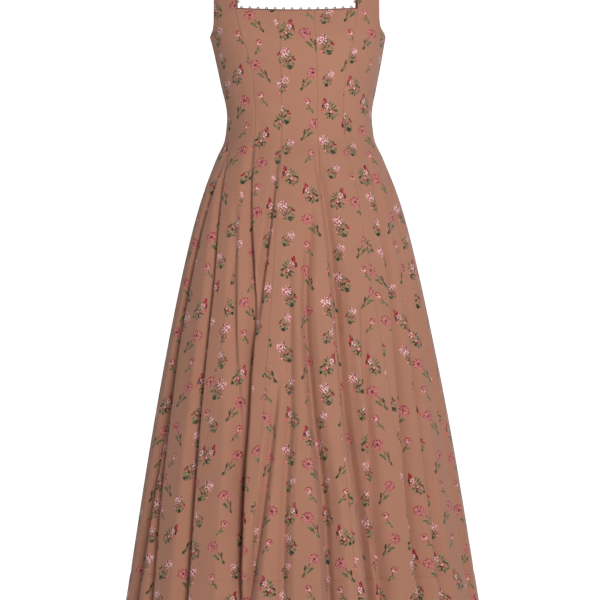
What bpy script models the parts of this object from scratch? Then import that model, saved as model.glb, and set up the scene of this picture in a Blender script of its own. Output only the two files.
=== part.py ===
"""Midi dress: square neck, wide straps, princess-seamed panels cut in one from neck to hem.

The dress is as worn, filled out and hollow. Metres, +Z up, front towards -Y, the wearer's
left at +X. The origin lies midway between the tops of the two straps, where a wearer's
shoulders carry it. Each panel is a cloth wall with a 0.3 mm gap at every seam.
"""
import math

import bmesh
import bpy
from mathutils import Matrix, Vector

MM = 0.001

# Cloth and heights
WALL = 1.2 * MM
SEAM_GAP = 0.3 * MM
NECK_Z = -150 * MM
NECK_DIP = 4 * MM
BACK_NECK_Z = -165 * MM
UNDERARM_Z = -190 * MM
HEM_Z = -1170 * MM
STRAP_INNER = 104 * MM
STRAP_OUTER = 141 * MM
# How squarely the armholes turn at the underarm, on the left (1) and the right (-1)
ARMHOLE_SQUARENESS = {1: 3.6, -1: 5.5}
SHOULDER_SLOPE = 0.16
STRAP_LEAN = 0.70

# Level sections of the filled-out dress in mm
# z, half width, front depth, back depth, squareness, lean of the centre
SECTIONS = (
    (-150, 150.0, 94, 90, 3.20, 0.0),
    (-178, 150.5, 103, 89.2, 3.08, 0.0),
    (-190, 151.0, 106, 88.8, 3.03, 1.8),
    (-205, 148.0, 109, 88.3, 2.75, 2.8),
    (-235, 142.0, 108, 86, 2.45, 3.7),
    (-272, 134.5, 100, 80, 2.32, 4.2),
    (-328, 124.5, 90, 72, 2.25, 5.0),
    (-364, 128.0, 93, 78, 2.20, 5.3),
    (-402, 144.0, 107, 98, 2.15, 5.7),
    (-471, 170.5, 128, 126, 2.10, 6.4),
    (-540, 190.0, 146, 147, 2.05, 6.6),
    (-677, 220.5, 174, 178, 2.00, 7.2),
    (-884, 259.5, 208, 212, 2.00, 8.8),
    (-1170, 305.0, 248, 252, 2.00, 10.0),
)

# Seams: distance of each from the centre line, seen level, in mm
FRONT_SEAM_LEVELS = (-150, -190, -265, -328, -471, -815, -1170)
FRONT_INNER_SEAM = (30.5, 30.5, 30.5, 30.5, 38, 63, 95)
FRONT_PRINCESS_SEAM = (104, 97, 79, 75.5, 98, 150, 202)
BACK_SEAM_LEVELS = (-165, -190, -265, -328, -471, -815, -1170)
BACK_INNER_SEAM = (46, 45, 42, 38, 47, 73, 104)
BACK_PRINCESS_SEAM = (104, 99, 84, 76, 98, 152, 205)

# Unpressed folds: valleys that run down from the hip and deepen to the hem. The shares are of
# the half width, seen level, at each of the fold levels.
# start z, end z, share at each level in percent, depth at hem, width on its two sides
FOLD_LEVELS = (-430, -520, -643, -815, -987, -1170)
TO_HEM = -1400
FRONT_FOLDS = (
    (-375, TO_HEM, (-91, -92, -93, -91, -89, -86), 12, 16, 20),
    (-385, TO_HEM, (-85, -78, -73, -71, -69, -67), 18, 26, 18),
    (-372, TO_HEM, (-56, -48, -40, -39, -40, -38), 23, 34, 20),
    (-380, -600, (-28, -30, -34, -37, -38, -37), 20, 16, 18),
    (-470, -960, (-66, -60, -54, -46, -41, -38), 12, 26, 22),
    (-760, TO_HEM, (-8, -9, -11, -18, -25, -33), 15, 20, 24),
    (-560, TO_HEM, (-10, -10, -9, -8, -11, -12), 11, 30, 24),
    (-480, TO_HEM, (12, 9, 4, 8, 15, 17), 20, 22, 30),
    (-370, TO_HEM, (22, 27, 30, 32, 38, 42), 23, 24, 34),
    (-640, TO_HEM, (49, 49, 48, 46, 46, 50), 16, 16, 22),
    (-385, TO_HEM, (80, 77, 74, 70, 68, 70), 20, 22, 26),
    (-430, TO_HEM, (92, 90, 86, 81, 80, 80), 15, 18, 24),
)
BACK_FOLDS = (
    (-470, TO_HEM, (-92, -91, -90, -88, -87, -86), 15, 20, 22),
    (-385, TO_HEM, (-84, -78, -74, -71, -70, -68), 24, 28, 24),
    (-400, TO_HEM, (-64, -56, -49, -46, -47, -49), 28, 26, 32),
    (-520, TO_HEM, (-36, -35, -33, -32, -30, -33), 15, 20, 22),
    (-380, TO_HEM, (-30, -26, -20, -18, -20, -22), 26, 30, 24),
    (-560, TO_HEM, (0, 0, -2, -3, -5, -4), 18, 26, 26),
    (-390, TO_HEM, (14, 18, 22, 25, 26, 24), 26, 26, 30),
    (-640, TO_HEM, (40, 40, 39, 37, 36, 38), 15, 20, 18),
    (-375, TO_HEM, (38, 44, 49, 52, 55, 57), 28, 30, 26),
    (-400, TO_HEM, (70, 68, 66, 68, 70, 72), 21, 24, 26),
    (-430, TO_HEM, (90, 88, 86, 84, 85, 86), 18, 24, 22),
)
# start z, degrees from the centre front at hip and at hem, depth at hem, width on its two sides
SIDE_FOLDS = (
    (-430, 73, 77, 15, 26, 22),
    (-400, 90, 92, 17, 26, 30),
    (-440, 107, 106, 16, 24, 26),
    (-410, -72, -75, 16, 24, 28),
    (-450, -88, -90, 14, 28, 24),
    (-400, -108, -105, 18, 26, 26),
)
FOLD_START_WIDTH = 0.45
FOLD_GROWTH = 0.62
FOLD_FADE = 120 * MM

# Rows of each wall, from the hem up
SKIRT_ROWS = (-1170, -1075, -980, -885, -790, -700, -615, -540, -480, -435, -400, -366, -328,
              -290, -250, -216, -190)
FRONT_TOP_ROWS = (-187.5, -183, -172, -150)
BACK_TOP_ROWS = (-187.5, -183, -177, -165)
STRAP_ROWS = 6

# Trim with picots, along the neck
TRIM_GAP = 0.3 * MM
TRIM_HEIGHT = 0.9 * MM
PICOT_HEIGHT = 3.2 * MM
PICOT_HALF = 2.0 * MM
PICOT_SPACING = 14.6 * MM

# Zip in the centre back seam
ZIP_END_ROW = -435
ZIP_GAP = 1.6 * MM
TAPE_WIDTH = 12 * MM
TAPE_WALL = 0.8 * MM
SLIDER_Z = -175.5 * MM
SLIDER_PLATE = Vector((8, 2, 9)) * MM
LUG_WALL = 1.0 * MM
LUG_HEIGHT = 3.8 * MM
LUG_REACH = 4.6 * MM
PIN_REACH = 2.8 * MM
PIN_RADIUS = 0.5 * MM
PIN_HOLE_RADIUS = 0.85 * MM
EAR_WALL = 0.9 * MM
EAR_RADIUS = 1.2 * MM
EAR_LENGTH = 3.3 * MM
TAB_LENGTH = 16 * MM
TAB_WALL = 1.2 * MM
TAB_WIDTH = 4.6 * MM


class Curve:
    """A smooth curve through a few points that never overshoots them."""

    def __init__(self, places, values):
        pairs = sorted(zip(places, values))
        self.places = [p * MM for p, _ in pairs]
        self.values = [v for _, v in pairs]
        steps = [(self.values[i + 1] - self.values[i]) / (self.places[i + 1] - self.places[i])
                 for i in range(len(pairs) - 1)]
        self.slopes = [steps[0]]
        for before, after in zip(steps, steps[1:]):
            level = before * after <= 0
            self.slopes.append(0.0 if level else 2 * before * after / (before + after))
        self.slopes.append(steps[-1])

    def __call__(self, place):
        if place <= self.places[0]:
            return self.values[0] + self.slopes[0] * (place - self.places[0])
        if place >= self.places[-1]:
            return self.values[-1] + self.slopes[-1] * (place - self.places[-1])
        i = 0
        while place > self.places[i + 1]:
            i += 1
        width = self.places[i + 1] - self.places[i]
        t = (place - self.places[i]) / width
        return ((1 + 2 * t) * (1 - t) ** 2 * self.values[i]
                + t * (1 - t) ** 2 * width * self.slopes[i]
                + t * t * (3 - 2 * t) * self.values[i + 1]
                + t * t * (t - 1) * width * self.slopes[i + 1])


SECTION_Z = [row[0] for row in SECTIONS]
HALF_WIDTH = Curve(SECTION_Z, [row[1] * MM for row in SECTIONS])
FRONT_DEPTH = Curve(SECTION_Z, [row[2] * MM for row in SECTIONS])
BACK_DEPTH = Curve(SECTION_Z, [row[3] * MM for row in SECTIONS])
SQUARENESS = Curve(SECTION_Z, [row[4] for row in SECTIONS])
LEAN = Curve(SECTION_Z, [row[5] * MM for row in SECTIONS])


def depth_of(back, z):
    return BACK_DEPTH(z) if back else FRONT_DEPTH(z)


def angle_at(across, z, back=False):
    """Angle round the dress, from the centre front towards +X, of a point seen level."""
    squareness = SQUARENESS(z)
    share = min(abs(across) / HALF_WIDTH(z), 0.9995)
    depth = depth_of(back, z) * (1 - share ** squareness) ** (1 / squareness)
    angle = math.atan2(abs(across), depth)
    if back:
        angle = math.pi - angle
    return math.copysign(angle, across)


def fold_angle(shares, back):
    """A fold's angle at each height, from its shares of the half width."""
    path = Curve(FOLD_LEVELS, shares)
    return lambda z: angle_at(path(z) / 100 * HALF_WIDTH(z), z, back)


def fold_rows():
    """Every fold: its angle at each height, and its start, end, depth and widths in metres."""
    for back, rows in ((False, FRONT_FOLDS), (True, BACK_FOLDS)):
        for start, end, shares, *sizes in rows:
            yield fold_angle(shares, back), start * MM, end * MM, *[size * MM for size in sizes]
    for start, hip, hem, *sizes in SIDE_FOLDS:
        turn = Curve((FOLD_LEVELS[0], FOLD_LEVELS[-1]), [math.radians(hip), math.radians(hem)])
        yield turn, start * MM, TO_HEM * MM, *[size * MM for size in sizes]


FOLDS = list(fold_rows())


def fold_depth(angle, z, radius):
    """How far the folds draw the cloth in from the outline."""
    total = 0.0
    for fold_at, start, end, depth, left, right in FOLDS:
        if z >= start or z <= end - FOLD_FADE:
            continue
        share = (start - z) / (start - HEM_Z)
        depth *= min((z - end + FOLD_FADE) / FOLD_FADE, 1.0)
        away = radius * math.remainder(angle - fold_at(z), 2 * math.pi)
        width = (left if away < 0 else right) * (FOLD_START_WIDTH + (1 - FOLD_START_WIDTH) * share)
        if abs(away) < width:
            side = 1 - (away / width) ** 2
            total += depth * share ** FOLD_GROWTH * side * side
    return total


def surface(angle, z):
    """A point of the dress's outer side."""
    squareness = SQUARENESS(z)
    across, along = math.sin(angle), math.cos(angle)
    depth = depth_of(along < 0, z)
    radius = (abs(across / HALF_WIDTH(z)) ** squareness
              + abs(along / depth) ** squareness) ** (-1 / squareness)
    radius -= fold_depth(angle, z, radius)
    return Vector((LEAN(z) + radius * across, -radius * along, z))


def surface_normal(angle, z, step=0.5 * MM):
    """Outward direction of the surface, from its neighbours a short step away."""
    turn = step / HALF_WIDTH(z)
    around = surface(angle + turn, z) - surface(angle - turn, z)
    upward = surface(angle, z + step) - surface(angle, z - step)
    return around.cross(upward).normalized()


def neck_z(across):
    """Height of the front neck edge, which dips a little at the centre."""
    share = min(abs(across) / STRAP_INNER, 1.0)
    return NECK_Z - NECK_DIP * (1 - share * share)


def strap_point(across, rise, back):
    """A point of a strap: rise 0 at the neck edge, 1 at the shoulder seam."""
    low = BACK_NECK_Z if back else NECK_Z
    foot = surface(angle_at(across, low, back), low)
    rest = 1 - rise
    y = foot.y * (rest * rest + STRAP_LEAN * rise * rest)
    z = low * rest * rest - SHOULDER_SLOPE * (abs(across) - STRAP_INNER) * rise * rise
    gap = math.copysign(SEAM_GAP / 2, foot.y) * rise
    return Vector((across, y + gap, z))


def strap_normal(across, rise, back, step=0.002):
    wide = strap_point(across + step, rise, back) - strap_point(across - step, rise, back)
    low, high = max(rise - step, 0.0), min(rise + step, 1.0)
    long = strap_point(across, high, back) - strap_point(across, low, back)
    normal = wide.cross(long).normalized()
    return -normal if back else normal


def armhole_angle(z, side, back):
    """Outer edge of a side panel: the side seam, then a tight curve up to the strap."""
    seam = side * math.pi / 2
    if z <= UNDERARM_Z:
        return seam
    top = BACK_NECK_Z if back else NECK_Z
    share = (z - UNDERARM_Z) / (top - UNDERARM_Z)
    strap = angle_at(side * STRAP_OUTER, z, back)
    squareness = ARMHOLE_SQUARENESS[side]
    low = max(1 - (1 - share) ** squareness, 0.0)
    return strap + (seam - strap) * (1 - low ** (1 / squareness))


def seam(row, back=False):
    """The angle of a seam at each height, for either side of the centre line."""
    levels = BACK_SEAM_LEVELS if back else FRONT_SEAM_LEVELS
    curve = Curve(levels, [value * MM for value in row])
    return lambda side: lambda z: angle_at(side * curve(z), z, back)


def centre_back(side):
    return lambda z: side * math.pi


def material(name, colour, roughness, metallic=0.0):
    made = bpy.data.materials.new(name)
    made.use_nodes = True
    shader = made.node_tree.nodes["Principled BSDF"]
    shader.inputs["Base Color"].default_value = (*colour, 1)
    shader.inputs["Roughness"].default_value = roughness
    shader.inputs["Metallic"].default_value = metallic
    return made


def add_mesh(name, verts, faces, finish):
    """A named object from points and faces, with its faces turned to point out."""
    mesh = bpy.data.meshes.new(name)
    mesh.from_pydata([tuple(v) for v in verts], [], faces)
    made = bmesh.new()
    made.from_mesh(mesh)
    bmesh.ops.recalc_face_normals(made, faces=made.faces)
    made.to_mesh(mesh)
    made.free()
    mesh.materials.append(finish)
    piece = bpy.data.objects.new(name, mesh)
    dress.objects.link(piece)
    return piece


def wall(name, outer, inner, finish):
    """A closed wall between two grids of points that have the same rows and columns."""
    rows, columns = len(outer), len(outer[0])
    verts = [point for grid in (outer, inner) for row in grid for point in row]

    def at(layer, i, j):
        return (layer * rows + i) * columns + j

    # The rim is in triangles, split the same way on the two sides of a seam, so that the
    # twisted edges of neighbours stay parallel.
    faces = []
    for layer in (0, 1):
        for i in range(rows - 1):
            for j in range(columns - 1):
                faces.append((at(layer, i, j), at(layer, i, j + 1),
                              at(layer, i + 1, j + 1), at(layer, i + 1, j)))
    rim = [(0, j) for j in range(columns)]
    rim += [(i, columns - 1) for i in range(1, rows)]
    rim += [(rows - 1, j) for j in range(columns - 2, -1, -1)]
    rim += [(i, 0) for i in range(rows - 2, 0, -1)]
    for pair in zip(rim, rim[1:] + rim[:1]):
        low, high = sorted(pair)
        faces.append((at(0, *low), at(0, *high), at(1, *high)))
        faces.append((at(0, *low), at(1, *high), at(1, *low)))
    return add_mesh(name, verts, faces, finish)


def seam_inset(point_gap, z, start, end):
    """Half a seam gap as a turn round the dress."""
    ahead = (surface(start + math.copysign(1e-3, end - start), z) - surface(start, z)).length
    return point_gap / 2 / ahead * 1e-3


def zip_gap(z):
    """The centre back seam is parted where the slider stands in it."""
    return ZIP_GAP if z > (BACK_TOP_ROWS[0] - 1) * MM else SEAM_GAP


def body_rows(start_edge, end_edge, rows, columns, gaps=None):
    """Outer points and their outward directions between two seams, row by row."""
    points, normals = [], []
    for row in rows:
        z = row * MM
        start, end = start_edge(z), end_edge(z)
        turn = math.copysign(1, end - start)
        first = gaps[0](z) if gaps else SEAM_GAP
        start += turn * seam_inset(first, z, start, end)
        end -= turn * seam_inset(SEAM_GAP, z, end, start)
        line, facing = [], []
        for j in range(columns + 1):
            angle = start + (end - start) * j / columns
            height = z
            if row == FRONT_TOP_ROWS[-1] and math.cos(angle) > 0:
                height = neck_z(surface(angle, z).x)
            line.append(surface(angle, height))
            facing.append(surface_normal(angle, height))
        points.append(line)
        normals.append(facing)
    return points, normals


def finish_panel(name, points, normals, finish):
    inner = [[p - n * WALL for p, n in zip(line, facing)]
             for line, facing in zip(points, normals)]
    return wall(name, points, inner, finish)


def panel(name, start_edge, end_edge, back, columns, finish, gaps=None):
    rows = SKIRT_ROWS + (BACK_TOP_ROWS if back else FRONT_TOP_ROWS)
    points, normals = body_rows(start_edge, end_edge, rows, columns, gaps)
    return finish_panel(name, points, normals, finish)


def side_panel(name, princess, side, back, columns, finish):
    """A side panel with its half of the strap cut in one piece with it."""
    rows = SKIRT_ROWS + (BACK_TOP_ROWS if back else FRONT_TOP_ROWS)
    points, normals = body_rows(princess, lambda z: armhole_angle(z, side, back), rows, columns)
    inner = STRAP_INNER + SEAM_GAP / 2
    foot = [side * (inner + (STRAP_OUTER - inner) * j / columns) for j in range(columns + 1)]
    low = rows[-1] * MM
    angles = [angle_at(x, low, back) for x in foot]
    points[-1] = [surface(angle, low) for angle in angles]
    normals[-1] = [(surface_normal(angle, low) + strap_normal(x, 0.0, back)).normalized()
                   for angle, x in zip(angles, foot)]
    for k in range(1, STRAP_ROWS + 1):
        rise = k / STRAP_ROWS
        points.append([strap_point(x, rise, back) for x in foot])
        normals.append([strap_normal(x, rise, back) for x in foot])
    return finish_panel(name, points, normals, finish)


def picot_stations(length):
    """Places along a trim and its height there: a plain band with a picot every so often."""
    count = max(int(length / PICOT_SPACING), 1)
    margin = (length - (count - 1) * PICOT_SPACING) / 2
    places = [(0.0, TRIM_HEIGHT)]
    for k in range(count):
        middle = margin + k * PICOT_SPACING
        for offset, height in ((-1, TRIM_HEIGHT), (0, PICOT_HEIGHT), (1, TRIM_HEIGHT)):
            places.append((middle + offset * PICOT_HALF, height))
    places.append((length, TRIM_HEIGHT))
    return places


def trim(name, edge, finish):
    """A band with picots that stands on a neck edge. Edge gives (point, normal, away)."""
    count = 160
    samples = [edge(k / count) for k in range(count + 1)]
    lengths = [0.0]
    for before, after in zip(samples, samples[1:]):
        lengths.append(lengths[-1] + (after[0] - before[0]).length)
    outer, inner = [], []
    k = 0
    for place, height in picot_stations(lengths[-1]):
        while k < count - 1 and lengths[k + 1] < place:
            k += 1
        share = (place - lengths[k]) / (lengths[k + 1] - lengths[k])
        point, normal, away = edge((k + min(share, 1.0)) / count)
        low, high = point + away * TRIM_GAP, point + away * (TRIM_GAP + height)
        outer.append([low, high])
        inner.append([low - normal * WALL, high - normal * WALL])
    return wall(name, outer, inner, finish)


def neck_edge(first, last, back):
    """The neck edge between two distances across, for a trim that stands on it."""
    def edge(share):
        across = first + (last - first) * share
        z = BACK_NECK_Z if back else neck_z(across)
        angle = angle_at(across, z, back)
        normal = surface_normal(angle, z)
        return surface(angle, z), normal, Vector((0, 0, 1))
    return edge


def strap_edge(side):
    """A strap's inner edge, from the front neck corner over the shoulder to the back one."""
    across = side * (STRAP_INNER + SEAM_GAP / 2)
    start = 0.02

    def edge(share):
        back = share > 0.5
        rise = start + (1 - start) * (1 - abs(2 * share - 1))
        point = strap_point(across, rise, back)
        wide = strap_point(across + side * MM, rise, back) - point
        return point, strap_normal(across, rise, back), -wide.normalized()
    return edge


def zip_tape(name, side, finish):
    """Half of the zip's tape, on the inside of a centre back panel."""
    rows = [row for row in SKIRT_ROWS + BACK_TOP_ROWS if row >= ZIP_END_ROW]
    outer, inner = [], []
    for row in rows:
        z = row * MM
        lines = ([], [])
        for across in (ZIP_GAP / 2, ZIP_GAP / 2 + TAPE_WIDTH / 2, ZIP_GAP / 2 + TAPE_WIDTH):
            angle = angle_at(side * across, z, True)
            point, normal = surface(angle, z), surface_normal(angle, z)
            lines[0].append(point - normal * (WALL + SEAM_GAP))
            lines[1].append(point - normal * (WALL + SEAM_GAP + TAPE_WALL))
        outer.append(lines[0])
        inner.append(lines[1])
    return wall(name, outer, inner, finish)


def block(name, size, centre, collection):
    bpy.ops.mesh.primitive_cube_add(size=1, location=centre)
    made = bpy.context.object
    made.name = name
    made.data.transform(Matrix.Diagonal((*size, 1)))
    move_to(made, collection)
    return made


def rod(name, radius, length, centre, collection, sides=16):
    """A cylinder that lies along X."""
    bpy.ops.mesh.primitive_cylinder_add(vertices=sides, radius=radius, depth=length,
                                        location=centre)
    made = bpy.context.object
    made.name = name
    made.data.transform(Matrix.Rotation(math.pi / 2, 4, "Y"))
    move_to(made, collection)
    return made


def move_to(made, collection):
    for owner in list(made.users_collection):
        owner.objects.unlink(made)
    collection.objects.link(made)
    if collection is cutters:
        made.hide_render = True
        made.display_type = "WIRE"


def combine(target, other, operation):
    step = target.modifiers.new(operation.title(), "BOOLEAN")
    step.operation = operation
    step.object = other
    step.solver = "EXACT"


def zip_slider(finish):
    """Slider: a plate inside the tapes and a lug that comes out through the seam."""
    outside = surface(math.pi, SLIDER_Z).y
    inside = outside - WALL - 2 * SEAM_GAP - TAPE_WALL
    made = block("zip_slider", SLIDER_PLATE,
                 (0, inside - SLIDER_PLATE.y / 2, SLIDER_Z), dress)
    length = outside + LUG_REACH - (inside - SLIDER_PLATE.y / 2)
    lug = block("slider_lug", (LUG_WALL, length, LUG_HEIGHT),
                (0, outside + LUG_REACH - length / 2, SLIDER_Z), cutters)
    hole = rod("slider_hole", PIN_HOLE_RADIUS, 4 * LUG_WALL,
               (0, outside + PIN_REACH, SLIDER_Z), cutters)
    combine(made, lug, "UNION")
    combine(made, hole, "DIFFERENCE")
    made.data.materials.append(finish)


def zip_pull(finish):
    """Pull: a pin through the slider's lug, two ears beside the lug and a flat tab."""
    pivot = Vector((0, surface(math.pi, SLIDER_Z).y + PIN_REACH, SLIDER_Z))
    ear_x = LUG_WALL / 2 + SEAM_GAP + EAR_WALL / 2
    made = rod("zip_pull", PIN_RADIUS, 2 * ear_x + EAR_WALL * 0.5, pivot, dress)
    tab_top = pivot.z - EAR_LENGTH
    tab = block("pull_tab", (TAB_WIDTH, TAB_WALL, TAB_LENGTH),
                (0, pivot.y, tab_top - TAB_LENGTH / 2), cutters)
    for vertex in tab.data.vertices:
        if vertex.co.z < 0:
            vertex.co.x *= 0.7
    for side in (-1, 1):
        name = "left" if side > 0 else "right"
        eye = rod("pull_eye_" + name, EAR_RADIUS, EAR_WALL,
                  pivot + Vector((side * ear_x, 0, 0)), cutters)
        ear = block("pull_ear_" + name, (EAR_WALL, TAB_WALL, EAR_LENGTH + MM),
                    pivot + Vector((side * ear_x, 0, -(EAR_LENGTH + MM) / 2)), cutters)
        combine(made, eye, "UNION")
        combine(made, ear, "UNION")
    combine(made, tab, "UNION")
    made.data.materials.append(finish)


def build_dress():
    cloth = material("printed cotton", (0.47, 0.22, 0.15), 0.85)
    trim_cloth = material("picot trim", (0.26, 0.12, 0.09), 0.85)
    tape_cloth = material("zip tape", (0.30, 0.16, 0.12), 0.80)
    metal = material("antique brass", (0.45, 0.33, 0.18), 0.38, 1.0)
    front_inner, front_princess = seam(FRONT_INNER_SEAM), seam(FRONT_PRINCESS_SEAM)
    back_inner, back_princess = seam(BACK_INNER_SEAM, True), seam(BACK_PRINCESS_SEAM, True)

    panel("front_centre", front_inner(-1), front_inner(1), False, 14, cloth)
    for side, name in ((1, "left"), (-1, "right")):
        panel("front_mid_" + name, front_inner(side), front_princess(side), False, 13, cloth)
        side_panel("front_side_" + name, front_princess(side), side, False, 17, cloth)
        panel("back_centre_" + name, centre_back(side), back_inner(side), True, 10, cloth,
              gaps=(zip_gap,))
        panel("back_mid_" + name, back_inner(side), back_princess(side), True, 13, cloth)
        side_panel("back_side_" + name, back_princess(side), side, True, 16, cloth)
        trim("trim_strap_" + name, strap_edge(side), trim_cloth)
        trim("trim_back_neck_" + name,
             neck_edge(side * ZIP_GAP, side * (STRAP_INNER - 2 * TRIM_HEIGHT), True), trim_cloth)
        zip_tape("zip_tape_" + name, side, tape_cloth)
    corner = STRAP_INNER - 2 * TRIM_HEIGHT
    trim("trim_front_neck", neck_edge(-corner, corner, False), trim_cloth)
    zip_slider(metal)
    zip_pull(metal)


for old in list(bpy.data.objects):
    bpy.data.objects.remove(old)
dress = bpy.data.collections.new("midi_dress")
cutters = bpy.data.collections.new("cutters")
bpy.context.scene.collection.children.link(dress)
bpy.context.scene.collection.children.link(cutters)
build_dress()
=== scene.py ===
"""Midi dress with a square neck and princess seams: the looks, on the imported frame."""
import math

import bmesh
import bpy
import numpy as np
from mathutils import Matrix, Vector


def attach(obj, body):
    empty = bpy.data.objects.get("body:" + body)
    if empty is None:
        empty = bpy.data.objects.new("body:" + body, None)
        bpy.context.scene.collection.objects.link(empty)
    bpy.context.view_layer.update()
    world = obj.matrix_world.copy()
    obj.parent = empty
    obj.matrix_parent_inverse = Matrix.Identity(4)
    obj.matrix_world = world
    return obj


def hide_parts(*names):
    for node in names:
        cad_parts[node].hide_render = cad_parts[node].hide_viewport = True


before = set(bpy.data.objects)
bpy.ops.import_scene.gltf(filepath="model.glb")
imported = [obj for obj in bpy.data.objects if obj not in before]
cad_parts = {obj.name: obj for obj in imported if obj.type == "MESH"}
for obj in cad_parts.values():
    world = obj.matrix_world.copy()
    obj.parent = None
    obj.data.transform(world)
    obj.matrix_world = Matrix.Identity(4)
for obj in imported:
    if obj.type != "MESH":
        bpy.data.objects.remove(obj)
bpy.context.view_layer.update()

MM = 0.001

# Cloth and heights, as in the part's source
NECK_Z = -150 * MM
NECK_DIP = 4 * MM
BACK_NECK_Z = -165 * MM
UNDERARM_Z = -190 * MM
HEM_Z = -1170 * MM
STRAP_INNER = 104 * MM
STRAP_OUTER = 141 * MM
# How squarely the armholes turn at the underarm, on the left (1) and the right (-1)
ARMHOLE_SQUARENESS = {1: 3.6, -1: 5.5}
SHOULDER_SLOPE = 0.16
STRAP_LEAN = 0.70

# Level sections in mm
# z, half width, front depth, back depth, squareness, lean of the centre
SECTIONS = (
    (-150, 150.0, 94, 90, 3.20, 0.0),
    (-178, 150.5, 103, 89.2, 3.08, 0.0),
    (-190, 151.0, 106, 88.8, 3.03, 1.8),
    (-205, 148.0, 109, 88.3, 2.75, 2.8),
    (-235, 142.0, 108, 86, 2.45, 3.7),
    (-272, 134.5, 100, 80, 2.32, 4.2),
    (-328, 124.5, 90, 72, 2.25, 5.0),
    (-364, 128.0, 93, 78, 2.20, 5.3),
    (-402, 144.0, 107, 98, 2.15, 5.7),
    (-471, 170.5, 128, 126, 2.10, 6.4),
    (-540, 190.0, 146, 147, 2.05, 6.6),
    (-677, 220.5, 174, 178, 2.00, 7.2),
    (-884, 259.5, 208, 212, 2.00, 8.8),
    (-1170, 305.0, 248, 252, 2.00, 10.0),
)

# Seams: distance of each from the centre line, seen level, in mm
FRONT_SEAM_LEVELS = (-150, -190, -265, -328, -471, -815, -1170)
FRONT_INNER_SEAM = (30.5, 30.5, 30.5, 30.5, 38, 63, 95)
FRONT_PRINCESS_SEAM = (104, 97, 79, 75.5, 98, 150, 202)
BACK_SEAM_LEVELS = (-165, -190, -265, -328, -471, -815, -1170)
BACK_INNER_SEAM = (46, 45, 42, 38, 47, 73, 104)
BACK_PRINCESS_SEAM = (104, 99, 84, 76, 98, 152, 205)

# Unpressed folds: valleys that run down from the hip and deepen to the hem. The shares are of
# the half width, seen level, at each of the fold levels.
# start z, end z, share at each level in percent, depth at hem, width on its two sides
FOLD_LEVELS = (-430, -520, -643, -815, -987, -1170)
TO_HEM = -1400
FRONT_FOLDS = (
    (-375, TO_HEM, (-91, -92, -93, -91, -89, -86), 12, 16, 20),
    (-385, TO_HEM, (-85, -78, -73, -71, -69, -67), 18, 26, 18),
    (-372, TO_HEM, (-56, -48, -40, -39, -40, -38), 23, 34, 20),
    (-380, -600, (-28, -30, -34, -37, -38, -37), 20, 16, 18),
    (-470, -960, (-66, -60, -54, -46, -41, -38), 12, 26, 22),
    (-760, TO_HEM, (-8, -9, -11, -18, -25, -33), 15, 20, 24),
    (-560, TO_HEM, (-10, -10, -9, -8, -11, -12), 11, 30, 24),
    (-480, TO_HEM, (12, 9, 4, 8, 15, 17), 20, 22, 30),
    (-370, TO_HEM, (22, 27, 30, 32, 38, 42), 23, 24, 34),
    (-640, TO_HEM, (49, 49, 48, 46, 46, 50), 16, 16, 22),
    (-385, TO_HEM, (80, 77, 74, 70, 68, 70), 20, 22, 26),
    (-430, TO_HEM, (92, 90, 86, 81, 80, 80), 15, 18, 24),
)
BACK_FOLDS = (
    (-470, TO_HEM, (-92, -91, -90, -88, -87, -86), 15, 20, 22),
    (-385, TO_HEM, (-84, -78, -74, -71, -70, -68), 24, 28, 24),
    (-400, TO_HEM, (-64, -56, -49, -46, -47, -49), 28, 26, 32),
    (-520, TO_HEM, (-36, -35, -33, -32, -30, -33), 15, 20, 22),
    (-380, TO_HEM, (-30, -26, -20, -18, -20, -22), 26, 30, 24),
    (-560, TO_HEM, (0, 0, -2, -3, -5, -4), 18, 26, 26),
    (-390, TO_HEM, (14, 18, 22, 25, 26, 24), 26, 26, 30),
    (-640, TO_HEM, (40, 40, 39, 37, 36, 38), 15, 20, 18),
    (-375, TO_HEM, (38, 44, 49, 52, 55, 57), 28, 30, 26),
    (-400, TO_HEM, (70, 68, 66, 68, 70, 72), 21, 24, 26),
    (-430, TO_HEM, (90, 88, 86, 84, 85, 86), 18, 24, 22),
)
# start z, degrees from the centre front at hip and at hem, depth at hem, width on its two sides
SIDE_FOLDS = (
    (-430, 73, 77, 15, 26, 22),
    (-400, 90, 92, 17, 26, 30),
    (-440, 107, 106, 16, 24, 26),
    (-410, -72, -75, 16, 24, 28),
    (-450, -88, -90, 14, 28, 24),
    (-400, -108, -105, 18, 26, 26),
)
FOLD_START_WIDTH = 0.45
FOLD_GROWTH = 0.62
FOLD_FADE = 120 * MM
CREASE_WIDTH = 9.0 * MM
CREASE_SHARE = 0.65

# Shell detail
SHELL_WALL = 0.9 * MM
SEAM_DEPTH = 0.6 * MM
SEAM_EDGE = (0.0, 0.5 * MM, 1.2 * MM, 2.6 * MM)
SEAM_ROLL = 0.9 * MM
HEM_DEPTH = 66 * MM
HEM_GROOVE = 1.0 * MM
COLUMN_STEP = 3.4 * MM
SKIRT_STEP = 8 * MM
BODICE_STEP = 4 * MM
STRAP_STEPS = 44
HEM_LIFT = 0.3 * MM
HEM_INSIDE = 2.3 * MM

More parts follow.
